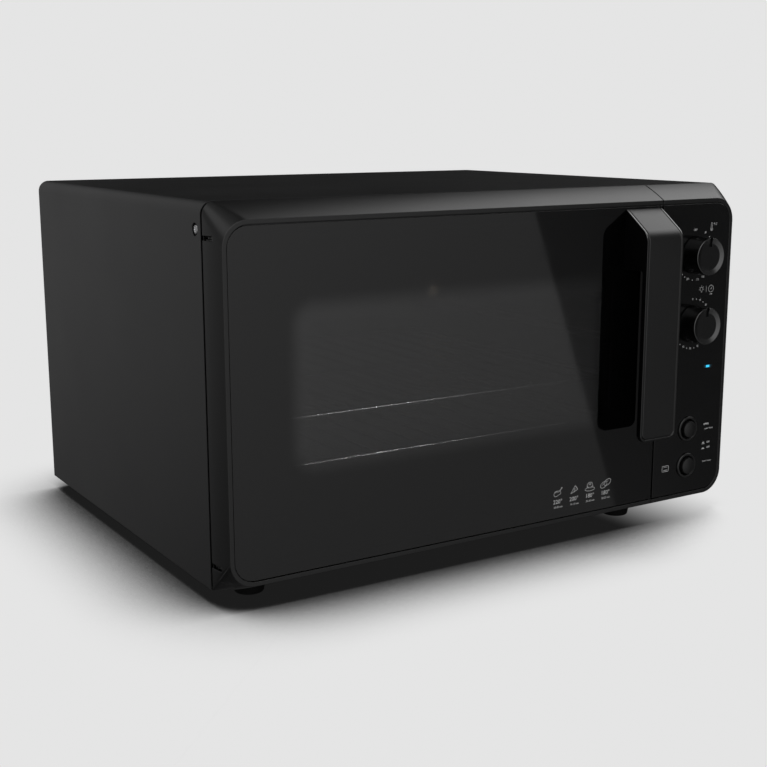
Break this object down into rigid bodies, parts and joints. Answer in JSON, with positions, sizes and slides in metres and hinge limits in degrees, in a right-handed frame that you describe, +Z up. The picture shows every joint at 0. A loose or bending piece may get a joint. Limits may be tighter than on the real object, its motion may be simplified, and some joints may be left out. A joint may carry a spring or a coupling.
{
  "type": "toaster oven",
  "caption": "Bench oven with a side-hinged glass door, bar handle and a control panel with knobs and push buttons; wire racks and tubular heaters inside.",
  "frame": {"origin": "on the surface it stands on, below the middle of the overall box, handle and rear screws included", "axes": "+X to the right seen from the front, +Y from the door to the rear, +Z up"},
  "size_m": [0.58, 0.4914, 0.344],
  "materials": {
    "black_coat": "satin",
    "steel_sheet": "zinc plated",
    "enamel_liner": "aluminised sheet, satin",
    "chrome_wire": "bright",
    "heater_steel": "heat-darkened",
    "ceramic": "unglazed",
    "lamp_glass": "clear",
    "bezel_plastic": "satin",
    "gloss_black": "glossy",
    "door_glass": "smoked, glossy",
    "clear_glass": "clear",
    "handle_plastic": "satin",
    "knob_plastic": "satin with bright rim",
    "seal_rubber": "matt",
    "foot_rubber": "matt",
    "screw_steel": "plated",
    "brass_bush": "plain",
    "indicator": "translucent",
    "black_plastic": "matt"
  },
  "bodies": {
    "cabinet": {"outer_wrapper": "black_coat", "front_frame": "black_coat", "base_pan": "black_coat", "back_panel": "black_coat", "rear_support": "steel_sheet", "side_screws": "screw_steel", "back_screws": "screw_steel", "cavity_liner": "enamel_liner", "crumb_tray": "enamel_liner", "heater_lower": "heater_steel", "heater_upper": "heater_steel", "heater_clips": "steel_sheet", "lamp_cover": "lamp_glass", "lamp_bulb": "lamp_glass", "lamp_holder": "ceramic", "rack_lower": "chrome_wire", "rack_upper": "chrome_wire", "hinge_arm_lower": "steel_sheet", "hinge_arm_upper": "steel_sheet", "hinge_pin_lower": "screw_steel", "hinge_pin_upper": "screw_steel", "catch_magnet": "black_plastic", "control_bezel": "bezel_plastic", "control_fascia": "gloss_black", "control_bracket": "steel_sheet", "indicator_lens": "indicator", "thermostat": "steel_sheet", "timer": "steel_sheet", "upper_heat_button_ring": "knob_plastic", "upper_heat_switch": "black_plastic", "lower_heat_button_ring": "knob_plastic", "lower_heat_switch": "black_plastic", "foot_front_left": "foot_rubber", "foot_front_right": "foot_rubber", "foot_rear_left": "foot_rubber", "foot_rear_right": "foot_rubber", "foot_screws": "screw_steel", "cord_bush": "black_plastic"},
    "door": {"door_frame": "bezel_plastic", "door_glass": "door_glass", "door_inner_panel": "steel_sheet", "door_inner_glass": "clear_glass", "door_gasket": "seal_rubber", "door_screws": "screw_steel", "handle": "handle_plastic", "handle_screws": "screw_steel", "catch_striker": "screw_steel", "hinge_bush_lower": "brass_bush", "hinge_bush_upper": "brass_bush"},
    "temperature_control": {"temperature_knob": "knob_plastic", "temperature_spindle": "steel_sheet"},
    "timer_control": {"timer_knob": "knob_plastic", "timer_spindle": "steel_sheet"},
    "upper_heat_control": {"upper_heat_button": "knob_plastic"},
    "lower_heat_control": {"lower_heat_button": "knob_plastic"}
  },
  "joints": [
    {"name": "door_hinge", "type": "hinge", "parent": "cabinet", "child": "door", "pos_m": [-0.2835, -0.1941, 0.179], "axis": [0, 0, -1], "range_deg": [0, 110]},
    {"name": "temperature_turn", "type": "hinge", "parent": "cabinet", "child": "temperature_control", "pos_m": [0.2355, -0.2141, 0.274], "axis": [0, 1, 0], "range_deg": [0, 270]},
    {"name": "timer_turn", "type": "hinge", "parent": "cabinet", "child": "timer_control", "pos_m": [0.2355, -0.2141, 0.204], "axis": [0, 1, 0], "range_deg": [0, 300]},
    {"name": "upper_heat_push", "type": "slide", "parent": "cabinet", "child": "upper_heat_control", "axis": [0, 1, 0], "range_m": [0, 0.003], "stiffness_N_per_m": 400, "springref_m": -0.001},
    {"name": "lower_heat_push", "type": "slide", "parent": "cabinet", "child": "lower_heat_control", "axis": [0, 1, 0], "range_m": [0, 0.003], "stiffness_N_per_m": 400, "springref_m": -0.001}
  ]
}
